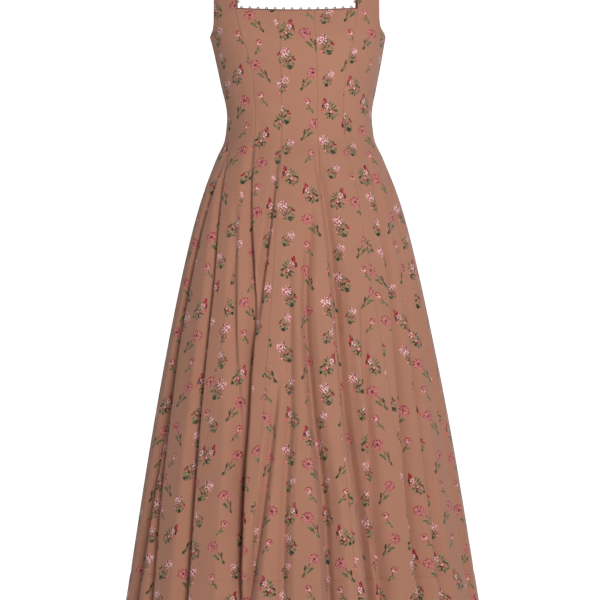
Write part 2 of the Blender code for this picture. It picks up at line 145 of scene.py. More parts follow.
# Small creases in mm: from and to as seen level, half width, depth (+ in)
FRONT_CREASES = (
    (-137, -215, -124, -300, 6, 1.6),
    (-130, -222, -118, -296, 4, -0.9),
    (133, -232, 118, -304, 6, 1.2),
    (-112, -322, -84, -352, 7, 1.0),
    (-60, -330, -66, -420, 7, 1.3),
    (-20, -352, -26, -440, 8, 0.9),
    (40, -338, 52, -430, 7, 1.2),
    (62, -326, 76, -402, 6, 1.1),
    (88, -330, 108, -410, 8, 1.4),
    (-96, -328, -122, -398, 8, 1.5),
    (58, -250, 96, -238, 9, 0.6),
    (-52, -244, -90, -236, 9, 0.6),
    (12, -500, 4, -590, 9, 1.2),
    (128, -520, 140, -640, 10, 1.6),
    (-60, -620, -72, -760, 12, 1.6),
    (84, -700, 100, -860, 12, 1.8),
    (-176, -700, -196, -850, 10, 1.6),
    (30, -900, 44, -1040, 13, 1.6),
)
BACK_CREASES = (
    (-128, -226, -114, -300, 6, 1.3),
    (130, -220, 116, -296, 6, 1.5),
    (-52, -332, -60, -412, 7, 1.2),
    (46, -334, 58, -420, 7, 1.1),
    (-92, -330, -114, -404, 8, 1.4),
    (94, -326, 112, -398, 8, 1.3),
    (-64, -242, -20, -252, 9, 0.6),
    (24, -246, 70, -238, 9, 0.6),
    (-30, -560, -40, -680, 11, 1.5),
    (104, -640, 116, -780, 12, 1.6),
    (-150, -700, -166, -860, 12, 1.6),
    (60, -860, 70, -1000, 12, 1.7),
)
# Thread work and zip
PICOT_SPACING = 14.4 * MM
THREAD = 0.85 * MM
CORD_LIFT = 0.75 * MM
LOOP_HALF = 1.7 * MM
LOOP_HEIGHT = 3.5 * MM
STITCH = 0.22 * MM
STITCH_PITCH = 2.6 * MM
ZIP_END = -435 * MM
ZIP_EDGE = 0.8 * MM
TAPE_WIDTH = 12 * MM
TAPE_INSIDE = 1.5 * MM
COIL_PITCH = 1.4 * MM
COIL_RADIUS = 0.55 * MM
COIL_THREAD = 0.22 * MM

# Camera: 5 m in front of the dress, level, as the photo was taken
CAMERA_DISTANCE = 5.0
CAMERA_HEIGHT = -0.643
CAMERA_X = 0.006
FRAME_HEIGHT = 1.032
SENSOR = 36.0
FLOOR_Z = -1.45
LIGHT_SPREAD = 100.0
SURROUND_RADIUS = 12.0
AMBIENT, AMBIENT_BEHIND = 0.13, 0.75
FLOOR_GLOW = 0.15


class Curve:
    """A smooth curve through a few points that never overshoots them, for arrays."""

    def __init__(self, places, values):
        order = np.argsort(places)
        self.places = np.array(places, float)[order] * MM
        self.values = np.array(values, float)[order]
        steps = np.diff(self.values) / np.diff(self.places)
        before, after = steps[:-1], steps[1:]
        level = before * after <= 0
        total = np.where(level, 1.0, before + after)
        inner = np.where(level, 0.0, 2 * before * after / total)
        self.slopes = np.concatenate([[steps[0]], inner, [steps[-1]]])

    def __call__(self, place):
        place = np.asarray(place, float)
        kept = np.clip(place, self.places[0], self.places[-1])
        i = np.clip(np.searchsorted(self.places, kept) - 1, 0, len(self.places) - 2)
        width = self.places[i + 1] - self.places[i]
        t = (kept - self.places[i]) / width
        value = ((1 + 2 * t) * (1 - t) ** 2 * self.values[i]
                 + t * (1 - t) ** 2 * width * self.slopes[i]
                 + t * t * (3 - 2 * t) * self.values[i + 1]
                 + t * t * (t - 1) * width * self.slopes[i + 1])
        beyond = np.where(place < kept, self.slopes[0], self.slopes[-1])
        return value + beyond * (place - kept)


SECTION_Z = [row[0] for row in SECTIONS]
HALF_WIDTH = Curve(SECTION_Z, [row[1] * MM for row in SECTIONS])
FRONT_DEPTH = Curve(SECTION_Z, [row[2] * MM for row in SECTIONS])
BACK_DEPTH = Curve(SECTION_Z, [row[3] * MM for row in SECTIONS])
SQUARENESS = Curve(SECTION_Z, [row[4] for row in SECTIONS])
LEAN = Curve(SECTION_Z, [row[5] * MM for row in SECTIONS])


def angle_at(across, z, back=False):
    """Angle round the dress, from the centre front towards +X, of a point seen level."""
    squareness = SQUARENESS(z)
    share = np.minimum(np.abs(across) / HALF_WIDTH(z), 0.9995)
    depth = (BACK_DEPTH(z) if back else FRONT_DEPTH(z)) * (1 - share ** squareness) ** (1 / squareness)
    angle = np.arctan2(np.abs(across), depth)
    if back:
        angle = math.pi - angle
    return np.copysign(angle, across)


def fold_angle(shares, back):
    """A fold's angle at each height, from its shares of the half width."""
    path = Curve(FOLD_LEVELS, shares)
    return lambda z: angle_at(path(z) / 100 * HALF_WIDTH(z), z, back)


def fold_rows():
    """Every fold: its angle at each height, and its start, end, depth and widths in metres."""
    for back, rows in ((False, FRONT_FOLDS), (True, BACK_FOLDS)):
        for start, end, shares, *sizes in rows:
            yield fold_angle(shares, back), start * MM, end * MM, *[size * MM for size in sizes]
    for start, hip, hem, *sizes in SIDE_FOLDS:
        turn = Curve((FOLD_LEVELS[0], FOLD_LEVELS[-1]), [math.radians(hip), math.radians(hem)])
        yield turn, start * MM, TO_HEM * MM, *[size * MM for size in sizes]


FOLDS = list(fold_rows())


def fold_depth(angle, z, radius):
    """How far the folds draw the cloth in from the outline."""
    total = np.zeros_like(angle)
    for fold_at, start, end, depth, left, right in FOLDS:
        share = np.clip((start - z) / (start - HEM_Z), 0, None)
        kept = np.clip((z - end + FOLD_FADE) / FOLD_FADE, 0, 1)
        turn = (angle - fold_at(z) + math.pi) % (2 * math.pi) - math.pi
        away = radius * turn
        width = np.where(away < 0, left, right) * (FOLD_START_WIDTH + (1 - FOLD_START_WIDTH) * share)
        side = np.clip(1 - (away / width) ** 2, 0, None)
        crease = np.clip(1 - (away / CREASE_WIDTH) ** 2, 0, None)
        shape = side * side + CREASE_SHARE * crease * crease
        total += depth * kept * share ** FOLD_GROWTH * shape
    return total


def surface(angle, z):
    """Points of the dress's outer side, in the last axis of the result."""
    angle, z = np.broadcast_arrays(np.asarray(angle, float), np.asarray(z, float))
    squareness = SQUARENESS(z)
    across, along = np.sin(angle), np.cos(angle)
    depth = np.where(along < 0, BACK_DEPTH(z), FRONT_DEPTH(z))
    radius = (np.abs(across / HALF_WIDTH(z)) ** squareness
              + np.abs(along / depth) ** squareness) ** (-1 / squareness)
    radius = radius - fold_depth(angle, z, radius)
    return np.stack([LEAN(z) + radius * across, -radius * along, z], axis=-1)


def neck_z(across):
    share = np.minimum(np.abs(across) / STRAP_INNER, 1.0)
    return NECK_Z - NECK_DIP * (1 - share * share)


def strap_points(across, rise, back):
    """Points of a strap: rise 0 at the neck edge, 1 at the shoulder seam."""
    low = BACK_NECK_Z if back else NECK_Z
    foot = surface(angle_at(across, low, back), np.full_like(across, low))
    rest = 1 - rise
    y = foot[..., 1] * (rest * rest + STRAP_LEAN * rise * rest)
    z = low * rest * rest - SHOULDER_SLOPE * (np.abs(across) - STRAP_INNER) * rise * rise
    return np.stack(np.broadcast_arrays(across, y, z), axis=-1)


def armhole_angle(side, back):
    """Outer edge of a side panel: the side seam, then a tight curve up to the strap."""
    squareness = ARMHOLE_SQUARENESS[side]

    def edge(z):
        top = BACK_NECK_Z if back else NECK_Z
        share = np.clip((z - UNDERARM_Z) / (top - UNDERARM_Z), 0, 1)
        strap = angle_at(np.full_like(z, side * STRAP_OUTER), z, back)
        seam = side * math.pi / 2
        low = 1 - (1 - share) ** squareness
        curved = strap + (seam - strap) * (1 - low ** (1 / squareness))
        return np.where(z <= UNDERARM_Z, seam, curved)
    return edge


def seam(row, back=False):
    """The angle of a seam at each height, for either side of the centre line."""
    levels = BACK_SEAM_LEVELS if back else FRONT_SEAM_LEVELS
    curve = Curve(levels, [value * MM for value in row])
    return lambda side: lambda z: angle_at(side * curve(z), z, back)


def centre_back(side):
    return lambda z: np.full_like(z, side * math.pi)


FRONT_INNER, FRONT_PRINCESS = seam(FRONT_INNER_SEAM), seam(FRONT_PRINCESS_SEAM)
BACK_INNER, BACK_PRINCESS = seam(BACK_INNER_SEAM, True), seam(BACK_PRINCESS_SEAM, True)


def normals_of(points):
    """Unit directions out of a grid of points, row by row."""
    normal = np.cross(np.gradient(points, axis=1), np.gradient(points, axis=0))
    normal /= np.linalg.norm(normal, axis=-1, keepdims=True)
    outward = (normal * points * (1, 1, 0)).sum(axis=-1).mean()
    return normal if outward > 0 else -normal


def body_heights(top):
    skirt = np.arange(HEM_Z, -400 * MM, SKIRT_STEP)
    bodice = np.arange(-400 * MM, top, BODICE_STEP)
    return np.concatenate([skirt, bodice, [top]])


def shares_across(width, count):
    """Places of the columns as shares of a row's width, close together beside the seams."""
    edge = np.array(SEAM_EDGE) / width[:, None]
    inner = np.linspace(SEAM_EDGE[-1] / width, 1 - SEAM_EDGE[-1] / width, count)[1:-1].T
    return np.concatenate([edge, inner, 1 - edge[:, ::-1]], axis=1)


def body_grid(start_edge, end_edge, top, dips, guide):
    """A panel's points between two seams, its column shares, widths and grain line."""
    z = body_heights(top)
    start, end = start_edge(z), end_edge(z)
    sample = np.linspace(0, 1, 24)
    rough = surface(start[:, None] + (end - start)[:, None] * sample, z[:, None])
    width = np.linalg.norm(np.diff(rough, axis=1), axis=-1).sum(axis=1)
    shares = shares_across(width, max(int(width.max() / COLUMN_STEP), 12))
    angle = start[:, None] + (end - start)[:, None] * shares
    grain = (guide(z) - start) / (end - start) if guide else np.full(len(z), 0.5)
    height = np.repeat(z[:, None], shares.shape[1], axis=1)
    if dips:
        near = np.clip((height - (top - 25 * MM)) / (25 * MM), 0, 1)
        across = surface(angle, height)[..., 0]
        height = height + near * (neck_z(across) - NECK_Z)
    return surface(angle, height), shares, width, grain


def crease_offset(points, front):
    """Soft creases from the tables: each is a trough or a ridge about a line seen level."""
    offset = np.zeros(points.shape[:2])
    x, z = points[..., 0], points[..., 2]
    for x1, z1, x2, z2, wide, deep in FRONT_CREASES if front else BACK_CREASES:
        first, last = np.array((x1, z1)) * MM, np.array((x2, z2)) * MM
        along = last - first
        length = np.hypot(*along)
        share = ((x - first[0]) * along[0] + (z - first[1]) * along[1]) / length ** 2
        kept = np.clip(share, 0, 1)
        away = np.hypot(x - first[0] - kept * along[0], z - first[1] - kept * along[1])
        fade = np.clip(4 * kept * (1 - kept), 0, 1) ** 0.5
        offset -= deep * MM * fade * np.exp(-(away / (wide * MM)) ** 2)
    return offset


def detail(points, shares, width, soft_edges, front):
    """Seam grooves, creases and the hem's band, moved along the normals."""
    normal = normals_of(points)
    offset = crease_offset(points, front)
    for place, wanted in zip((shares, 1 - shares), soft_edges):
        if wanted:
            offset -= SEAM_DEPTH * np.exp(-(place * width[:, None] / SEAM_ROLL) ** 2)
    z = points[..., 2]
    line = HEM_Z + HEM_DEPTH
    offset += HEM_LIFT * np.clip((line - z) / (6 * MM), 0, 1)
    offset -= HEM_GROOVE * np.exp(-((z - line) / (3.5 * MM)) ** 2)
    return points + normal * offset[..., None]


def turned_hem(points):
    """Adds the hem, folded under: a band inside the skirt that runs up from the edge."""
    normal = normals_of(points)
    count = int(HEM_DEPTH / SKIRT_STEP) + 1
    band = (points - normal * HEM_INSIDE)[count - 1::-1]
    edge = points[:1] - normal[:1] * HEM_INSIDE / 2 - (0, 0, 0.4 * MM)
    return np.concatenate([band, edge, points]), count + 1


def cloth_uv(points, shares, grain):
    """Each point's place on the flat cloth, in metres, from the panel's grain line."""
    steps = np.linalg.norm(np.diff(points, axis=1), axis=-1)
    u = np.concatenate([np.zeros((len(points), 1)), np.cumsum(steps, axis=1)], axis=1)
    line = []
    for row, share, place, along in zip(points, shares, grain, u):
        along -= np.interp(place, share, along)
        line.append([np.interp(place, share, row[:, axis]) for axis in range(3)])
    rise = np.linalg.norm(np.diff(np.array(line), axis=0), axis=-1)
    v = np.concatenate([[0], np.cumsum(rise)])
    return np.stack([u, np.repeat(v[:, None], points.shape[1], axis=1)], axis=-1)


def sheet_object(name, points, uv, materials, wall=SHELL_WALL):
    """A cloth shell on a grid of points, with its flat places as its UV map."""
    rows, columns = points.shape[:2]
    index = np.arange(rows * columns).reshape(rows, columns)
    quads = np.stack([index[:-1, :-1], index[:-1, 1:], index[1:, 1:], index[1:, :-1]], axis=-1)
    quads = quads.reshape(-1, 4)
    p = points.reshape(-1, 3)
    facing = np.cross(p[quads[:, 1]] - p[quads[:, 0]], p[quads[:, 3]] - p[quads[:, 0]])
    middle = p[quads].mean(axis=1) * (1, 1, 0)
    if (facing * middle).sum() < 0:
        quads = quads[:, ::-1]
    mesh = bpy.data.meshes.new(name)
    mesh.from_pydata(p.tolist(), [], quads.tolist())
    layer = mesh.uv_layers.new(name="Cloth")
    flat = uv.reshape(-1, 2)[quads.reshape(-1)]
    layer.data.foreach_set("uv", flat.astype(np.float32).ravel())
    for material in materials:
        mesh.materials.append(material)
    mesh.shade_smooth()
    piece = bpy.data.objects.new(name, mesh)
    bpy.context.scene.collection.objects.link(piece)
    if wall:
        thick = piece.modifiers.new("wall", "SOLIDIFY")
        thick.thickness = wall
        thick.offset = -1
        thick.material_offset = len(materials) - 1
    return piece


def linear(red, green, blue):
    """A colour as seen, 0 to 255, as the light values that Blender uses."""
    def one(value):
        value /= 255
        return value / 12.92 if value <= 0.04045 else ((value + 0.055) / 1.055) ** 2.4
    return one(red), one(green), one(blue), 1.0


class Shade:
    """Adds a material's nodes and links them as values are combined."""

    def __init__(self, name):
        self.material = bpy.data.materials.new(name)
        self.material.use_nodes = True
        self.tree = self.material.node_tree
        self.shader = self.tree.nodes["Principled BSDF"]

    def add(self, kind, **settings):
        made = self.tree.nodes.new(kind)
        for key, value in settings.items():
            setattr(made, key, value)
        return made

    def feed(self, socket, value):
        if isinstance(value, bpy.types.NodeSocket):
            self.tree.links.new(value, socket)
        else:
            socket.default_value = value

    def math(self, operation, *values):
        made = self.add("ShaderNodeMath", operation=operation)
        for socket, value in zip(made.inputs, values):
            self.feed(socket, value)
        return made.outputs[0]

    def vector(self, operation, *values):
        made = self.add("ShaderNodeVectorMath", operation=operation)
        for socket, value in zip(made.inputs, values):
            self.feed(socket, value)
        return made.outputs["Value" if operation in ("LENGTH", "DOT_PRODUCT") else "Vector"]

    def mix(self, share, first, second):
        made = self.add("ShaderNodeMix", data_type="RGBA")
        self.feed(made.inputs["Factor"], share)
        self.feed(made.inputs[6], first)
        self.feed(made.inputs[7], second)
        return made.outputs[2]

    def join(self, x, y, z=0.0):
        made = self.add("ShaderNodeCombineXYZ")
        for socket, value in zip(made.inputs, (x, y, z)):
            self.feed(socket, value)
        return made.outputs[0]

    def split(self, vector):
        made = self.add("ShaderNodeSeparateXYZ")
        self.feed(made.inputs[0], vector)
        return made.outputs

    def noise(self, vector, scale, detail=2.0):
        made = self.add("ShaderNodeTexNoise", noise_dimensions="2D")
        self.feed(made.inputs["Vector"], vector)
        made.inputs["Scale"].default_value = scale
        made.inputs["Detail"].default_value = detail
        return made.outputs


# Colours of the cloth and its print, as seen in the photo's light
GROUND = linear(186, 132, 108)
INKS = {
    "crimson": linear(160, 46, 58),
    "red": linear(196, 58, 60),
    "pink": linear(204, 104, 108),
    "rose": linear(214, 142, 134),
    "pale": linear(240, 200, 192),
    "white": linear(253, 234, 224),
    "coral": linear(222, 116, 98),
    "maroon": linear(96, 44, 44),
    "leaf": linear(122, 126, 84),
    "green": linear(92, 106, 66),
    "dark green": linear(60, 68, 42),
    "stem": linear(104, 80, 56),
}

# Print motifs, charted in mm about each one's middle, later rows on top
# x, y, half width, half height, turn in degrees, ink
CARNATION = (
    (5.2, -2.6, 0.9, 6.2, 28, "stem"),
    (10.2, -13.6, 1.1, 6.6, 14, "stem"),
    (0.2, -6.2, 2.4, 5.4, 64, "leaf"),
    (-0.8, -5.4, 1.1, 3.6, 60, "green"),
    (3.0, -10.6, 1.4, 4.4, 46, "green"),
    (10.0, -5.6, 1.5, 4.4, 6, "dark green"),
    (12.0, -18.6, 1.8, 3.4, 14, "dark green"),
    (9.0, -17.2, 1.2, 3.4, 30, "leaf"),
)
CARNATION_HEAD = (-3.8, 10.6, 10.0)
SMALL_ROSE = (
    (-0.6, -2.8, 0.8, 5.0, -22, "stem"),
    (-4.4, -9.0, 1.5, 4.8, -24, "green"),
    (-3.2, -6.8, 0.9, 3.0, -20, "leaf"),
    (1.8, -6.0, 1.4, 3.2, -72, "leaf"),
    (2.6, 5.8, 5.4, 5.1, 0, "crimson"),
    (3.0, 5.2, 4.8, 4.5, 0, "rose"),
    (1.2, 3.6, 2.0, 1.4, 30, "pale"),
    (5.0, 7.0, 1.6, 2.4, -30, "pink"),
    (3.2, 6.0, 1.6, 1.3, 20, "crimson"),
)
CLUSTER = (
    (-1.8, 1.0, 0.7, 8.0, 30, "stem"),
    (2.6, -3.6, 0.7, 7.0, -6, "stem"),
    (6.4, -4.4, 0.6, 5.6, 20, "stem"),
    (-6.6, -1.6, 0.7, 6.0, 50, "stem"),
    (-6.0, 4.4, 1.8, 3.0, -40, "leaf"),
    (-9.2, 2.8, 1.4, 2.0, 20, "maroon"),
    (-11.6, -0.8, 2.1, 2.0, 0, "crimson"),
    (-13.0, 1.6, 1.3, 1.2, 0, "coral"),
    (-4.0, -4.0, 1.7, 2.6, 50, "dark green"),
    (0.2, -4.6, 1.6, 1.5, 0, "maroon"),
    (3.8, -7.2, 1.8, 1.4, 30, "green"),
    (7.4, -10.4, 2.3, 2.1, 0, "coral"),
    (6.6, -9.8, 0.9, 0.8, 0, "pale"),
    (9.6, -6.8, 1.3, 1.1, 0, "rose"),
    (-9.8, -7.2, 1.7, 3.4, -50, "leaf"),
    (-1.6, -8.8, 2.1, 3.2, 40, "leaf"),
    (2.4, -12.8, 1.5, 3.2, -66, "green"),
    (-9.2, -12.6, 1.7, 3.4, 20, "leaf"),
    (-5.2, -13.4, 3.9, 3.7, 20, "dark green"),
)
CLUSTER_HEAD = (4.8, 8.4, 8.8, 9.0)
TULIP_SPRAY = (
    (1.4, 7.8, 1.3, 3.8, -12, "leaf"),
    (4.8, 5.0, 1.3, 4.2, -34, "green"),
    (8.8, 2.8, 1.2, 3.8, -58, "leaf"),
    (6.4, -0.4, 1.8, 3.0, -70, "green"),
    (10.8, -3.0, 1.6, 4.4, 78, "dark green"),
    (13.8, -6.6, 1.4, 3.2, 64, "leaf"),
    (14.0, -11.8, 2.4, 2.6, 20, "dark green"),
    (9.6, -12.2, 1.4, 4.0, 36, "leaf"),
    (6.8, -15.8, 1.7, 3.4, 10, "green"),
    (2.4, -12.8, 1.8, 3.8, -14, "dark green"),
    (-1.4, -15.0, 1.3, 3.0, -36, "leaf"),
    (-3.0, -9.8, 1.6, 3.8, -58, "green"),
    (0.4, -3.4, 0.8, 7.0, 40, "stem"),
    (0.4, -8.6, 2.0, 1.8, 0, "dark green"),
    (5.4, -7.6, 3.8, 2.6, -12, "crimson"),
    (3.4, -6.2, 1.8, 1.5, 0, "pale"),
    (7.8, -7.6, 1.4, 1.1, 0, "rose"),
    (8.6, -4.6, 1.4, 1.2, 0, "coral"),
    (-10.8, -5.6, 1.9, 3.6, 6, "coral"),
    (-10.0, 1.0, 1.8, 4.6, 8, "maroon"),
    (-7.6, 7.6, 3.1, 6.6, 4, "red"),
    (-8.8, 12.6, 1.8, 2.8, 8, "crimson"),
    (-6.0, 9.8, 1.3, 3.6, -8, "crimson"),
)
TULIP_HEAD = (-4.4, 3.0, 4.4, 6.6)

# The repeat, charted in mm: a staggered scatter of the four motifs. It lies turned on
# the cloth, so that no motif comes straight above itself.
REPEAT_ACROSS, REPEAT_UP = 186.0, 184.0
REPEAT_TURN = 26.6
MOTIF_REACH = 27.0
MOTIF_SIZE = 1.10
# x, y, turn in degrees, 1 as drawn or -1 mirrored, size
CARNATION_SITES = (
    (150, 17, 4, 1, 1.00),
    (84, 63, -12, -1, 0.95),
    (7, 95, 12, 1, 1.02),
    (121, 141, -6, -1, 0.92),
)
SMALL_ROSE_SITES = (
    (60, 22, -8, 1, 1.00),
    (173, 61, 10, -1, 1.08),
    (99, 102, 2, -1, 1.00),
)
CLUSTER_SITES = (
    (103, 5, -6, -1, 0.98),
    (35, 53, 5, 1, 0.76),
    (52, 109, 6, -1, 1.00),
    (147, 92, -7, 1, 0.76),
    (76, 153, 4, 1, 0.80),
    (166, 137, 5, -1, 1.00),
)
TULIP_SITES = (
    (14, 7, -4, 1, 0.96),
    (128, 49, 8, -1, 1.00),
    (30, 148, -8, 1, 0.94),
)
PETALS = 9
CRINKLE_SCALE = 55.0
CRINKLE_DEPTH = 1.1 * MM
SPECK_PITCH = 1.9 * MM
FLORET_PITCH = 3.4


def motif_place(shade, place, sites):
    """The place about the nearest site of a motif, and far off it elsewhere."""
    local = (900.0, 0.0, 0.0)
    far = (REPEAT_ACROSS / 2, REPEAT_UP / 2, 1.0)
    near = (-REPEAT_ACROSS / 2, -REPEAT_UP / 2, 0.0)
    for x, y, turn, mirror, size in sites:
        away = shade.vector("SUBTRACT", place, (x, y, 0.0))
        away = shade.vector("WRAP", away, far, near)
        inside = shade.math("LESS_THAN", shade.vector("LENGTH", away), MOTIF_REACH)
        turned = shade.add("ShaderNodeMapping", vector_type="TEXTURE")
        shade.feed(turned.inputs["Vector"], away)
        turned.inputs["Rotation"].default_value = (0, 0, math.radians(turn - REPEAT_TURN))
        turned.inputs["Scale"].default_value = (mirror * size * MOTIF_SIZE, size * MOTIF_SIZE, 1)
        chosen = shade.add("ShaderNodeMix", data_type="VECTOR")
        shade.feed(chosen.inputs[0], inside)
        shade.feed(chosen.inputs[4], local)
        shade.feed(chosen.inputs[5], turned.outputs[0])
        local = chosen.outputs[1]
    return local


def draw(shade, place, colour, rows):
    """Lays a motif's shapes over a colour."""
    for x, y, wide, high, turn, ink in rows:
        spot = shade.add("ShaderNodeMapping", vector_type="TEXTURE")
        shade.feed(spot.inputs["Vector"], place)
        spot.inputs["Location"].default_value = (x, y, 0)
        spot.inputs["Rotation"].default_value = (0, 0, math.radians(turn))
        spot.inputs["Scale"].default_value = (wide, high, 1)
        inside = shade.math("LESS_THAN", shade.vector("LENGTH", spot.outputs[0]), 1.0)
        colour = shade.mix(inside, colour, INKS[ink])
    return colour


def carnation_head(shade, place, colour):
    """A frilled flower head: petals by angle, a dark eye and a crimson rim at its upper left."""
    x, y, radius = CARNATION_HEAD
    away = shade.vector("MULTIPLY", shade.vector("SUBTRACT", place, (x, y, 0)), (1.0, 1.15, 0.0))
    across, up, _ = shade.split(away)
    distance = shade.vector("LENGTH", away)
    turn = shade.math("MULTIPLY", shade.math("ARCTAN2", up, across), float(PETALS))
    wave = shade.math("SINE", shade.math("MULTIPLY_ADD", distance, 0.45, turn))
    edge = shade.math("MULTIPLY_ADD", wave, 0.9, radius - 0.9)
    shaded = shade.math("GREATER_THAN", shade.vector("DOT_PRODUCT", away, (-0.5, 0.8, 0.0)), 1.0)
    rim = shade.mix(shaded, INKS["pink"], INKS["crimson"])
    colour = shade.mix(shade.math("LESS_THAN", distance, edge), colour, rim)
    rows = (
        (shade.math("SUBTRACT", edge, 1.6), "pink"),
        (shade.math("MULTIPLY_ADD", wave, 2.4, 6.4), "rose"),
        (shade.math("MULTIPLY_ADD", wave, 1.4, 2.6), "crimson"),
        (1.6, "maroon"),
    )
    for limit, ink in rows:
        colour = shade.mix(shade.math("LESS_THAN", distance, limit), colour, INKS[ink])
    split = shade.math("LESS_THAN", wave, -0.84)
    ring = shade.math("LESS_THAN", shade.math("ABSOLUTE", shade.math("SUBTRACT", distance, 5.8)), 2.6)
    return shade.mix(shade.math("MULTIPLY", split, ring), colour, INKS["crimson"])


def floret_head(shade, place, colour, size):
    """An oval patch of tiny pale florets, darker at its shaded side."""
    x, y, wide, high = size
    away = shade.vector("SUBTRACT", place, (x, y, 0))
    floret = shade.add("ShaderNodeTexVoronoi", voronoi_dimensions="2D")
    shade.feed(floret.inputs["Vector"], away)
    floret.inputs["Scale"].default_value = 1 / FLORET_PITCH
    chance = shade.split(floret.outputs["Color"])[0]
    distance = shade.vector("LENGTH", shade.vector("DIVIDE", away, (wide, high, 1.0)))
    inside = shade.math("LESS_THAN", distance, shade.math("MULTIPLY_ADD", chance, -0.3, 1.0))
    shaded = shade.vector("LENGTH", shade.vector("SUBTRACT", away, (wide / 3, high / 12, 0.0)))
    base = shade.mix(shade.math("GREATER_THAN", shaded, wide * 0.8), INKS["pink"], INKS["maroon"])
    colour = shade.mix(inside, colour, base)
    petal = shade.math("MULTIPLY", inside, shade.math("LESS_THAN", floret.outputs["Distance"], 0.38))
    bright = shade.mix(shade.math("GREATER_THAN", chance, 0.45), INKS["pale"], INKS["white"])
    return shade.mix(petal, colour, bright)


def cluster_head(shade, place, colour):
    return floret_head(shade, place, colour, CLUSTER_HEAD)


def tulip_head(shade, place, colour):
    return floret_head(shade, place, colour, TULIP_HEAD)


def print_colour(shade, uv, ground):
    """The scattered flower print over the ground colour."""
    turned = shade.add("ShaderNodeMapping", vector_type="POINT")
    shade.feed(turned.inputs["Vector"], uv)
    turned.inputs["Rotation"].default_value = (0, 0, math.radians(-REPEAT_TURN))
    turned.inputs["Scale"].default_value = (1 / MM, 1 / MM, 1)
    ragged = shade.noise(uv, 420.0, 1.0)["Color"]
    ragged = shade.vector("MULTIPLY_ADD", ragged, (2.4, 2.4, 0.0), (-1.2, -1.2, 0.0))
    place = shade.vector("ADD", turned.outputs[0], ragged)
    colour = ground
    drawings = (
        (SMALL_ROSE_SITES, SMALL_ROSE, None),
        (CARNATION_SITES, CARNATION, carnation_head),
        (CLUSTER_SITES, CLUSTER, cluster_head),
        (TULIP_SITES, TULIP_SPRAY, tulip_head),
    )
    for sites, rows, head in drawings:
        local = motif_place(shade, place, sites)
        colour = draw(shade, local, colour, rows)
        if head:
            colour = head(shade, local, colour)
    return speckled(shade, uv, colour, ground)


def speckled(shade, uv, colour, ground):
    """Small uneven dots of lighter and darker ink, on the print only."""
    printed = shade.math("GREATER_THAN", shade.vector("LENGTH", shade.vector(
        "SUBTRACT", colour, ground[:3])), 0.04)
    speck = shade.add("ShaderNodeTexVoronoi", voronoi_dimensions="2D")
    shade.feed(speck.inputs["Vector"], uv)
    speck.inputs["Scale"].default_value = 1 / SPECK_PITCH
    first, second, _ = shade.split(speck.outputs["Color"])
    dark = shade.math("MULTIPLY", shade.math("GREATER_THAN", first, 0.66), printed)
    light = shade.math("MULTIPLY", shade.math("GREATER_THAN", second, 0.72), printed)
    darker = shade.vector("MULTIPLY", colour, (0.66, 0.55, 0.58))
    lighter = shade.vector("MULTIPLY_ADD", colour, (0.8, 0.8, 0.8), (0.15, 0.10, 0.09))
    return shade.mix(light, shade.mix(dark, colour, darker), lighter)


def weave_height(shade, uv, pitch):
    """A plain weave: threads over and under each other."""
    u, v, _ = shade.split(uv)
    turn = 2 * math.pi / pitch
    over = shade.math("SINE", shade.math("MULTIPLY", u, turn))
    under = shade.math("SINE", shade.math("MULTIPLY", v, turn))
    return shade.math("MULTIPLY", over, under)


def uv_of(shade):
    return shade.add("ShaderNodeUVMap", uv_map="Cloth").outputs[0]


def bump(shade, height, distance, strength):
    made = shade.add("ShaderNodeBump")
    made.inputs["Strength"].default_value = strength
    made.inputs["Distance"].default_value = distance
    shade.feed(made.inputs["Height"], height)
    return made


def cotton(name, faded=0.0):
    """Printed plain-weave cotton with a little tone variation. Its reverse is faded."""
    shade = Shade(name)
    uv = uv_of(shade)
    tone = shade.math("MULTIPLY_ADD", shade.noise(uv, 9.0, 3.0)["Fac"], 0.10, 0.95)
    thread = shade.math("MULTIPLY_ADD", shade.noise(uv, 900.0, 1.0)["Fac"], 0.10, 0.95)
    colour = print_colour(shade, uv, GROUND)
    if faded:
        colour = shade.mix(faded, colour, GROUND)
    shading = shade.math("MULTIPLY", tone, thread)
    toned = shade.vector("MULTIPLY", colour, shade.join(shading, shading, shading))
    shade.feed(shade.shader.inputs["Base Color"], toned)
    crinkle = shade.math("MULTIPLY", shade.noise(uv, CRINKLE_SCALE, 3.0)["Fac"], CRINKLE_DEPTH)
    rough = bump(shade, crinkle, 1.0, 1.0)
    relief = bump(shade, weave_height(shade, uv, 0.55 * MM), 0.10 * MM, 0.5)
    shade.feed(relief.inputs["Normal"], rough.outputs[0])
    shade.feed(shade.shader.inputs["Normal"], relief.outputs[0])
    shade.shader.inputs["Roughness"].default_value = 0.88
    shade.shader.inputs["Sheen Weight"].default_value = 0.15
    shade.shader.inputs["Sheen Roughness"].default_value = 0.5
    shade.shader.inputs["Specular IOR Level"].default_value = 0.25
    return shade.material


def plain_thread(name, colour, pitch):
    shade = Shade(name)
    place = shade.add("ShaderNodeTexCoord").outputs["Object"]
    noise = shade.add("ShaderNodeTexNoise")
    shade.feed(noise.inputs["Vector"], place)
    noise.inputs["Scale"].default_value = 1 / pitch
    dark = tuple(value * 0.6 for value in colour[:3]) + (1.0,)
    shade.feed(shade.shader.inputs["Base Color"], shade.mix(noise.outputs["Fac"], dark, colour))
    relief = bump(shade, noise.outputs["Fac"], 0.2 * MM, 0.6)
    shade.feed(shade.shader.inputs["Normal"], relief.outputs[0])
    shade.shader.inputs["Roughness"].default_value = 0.85
    return shade.material


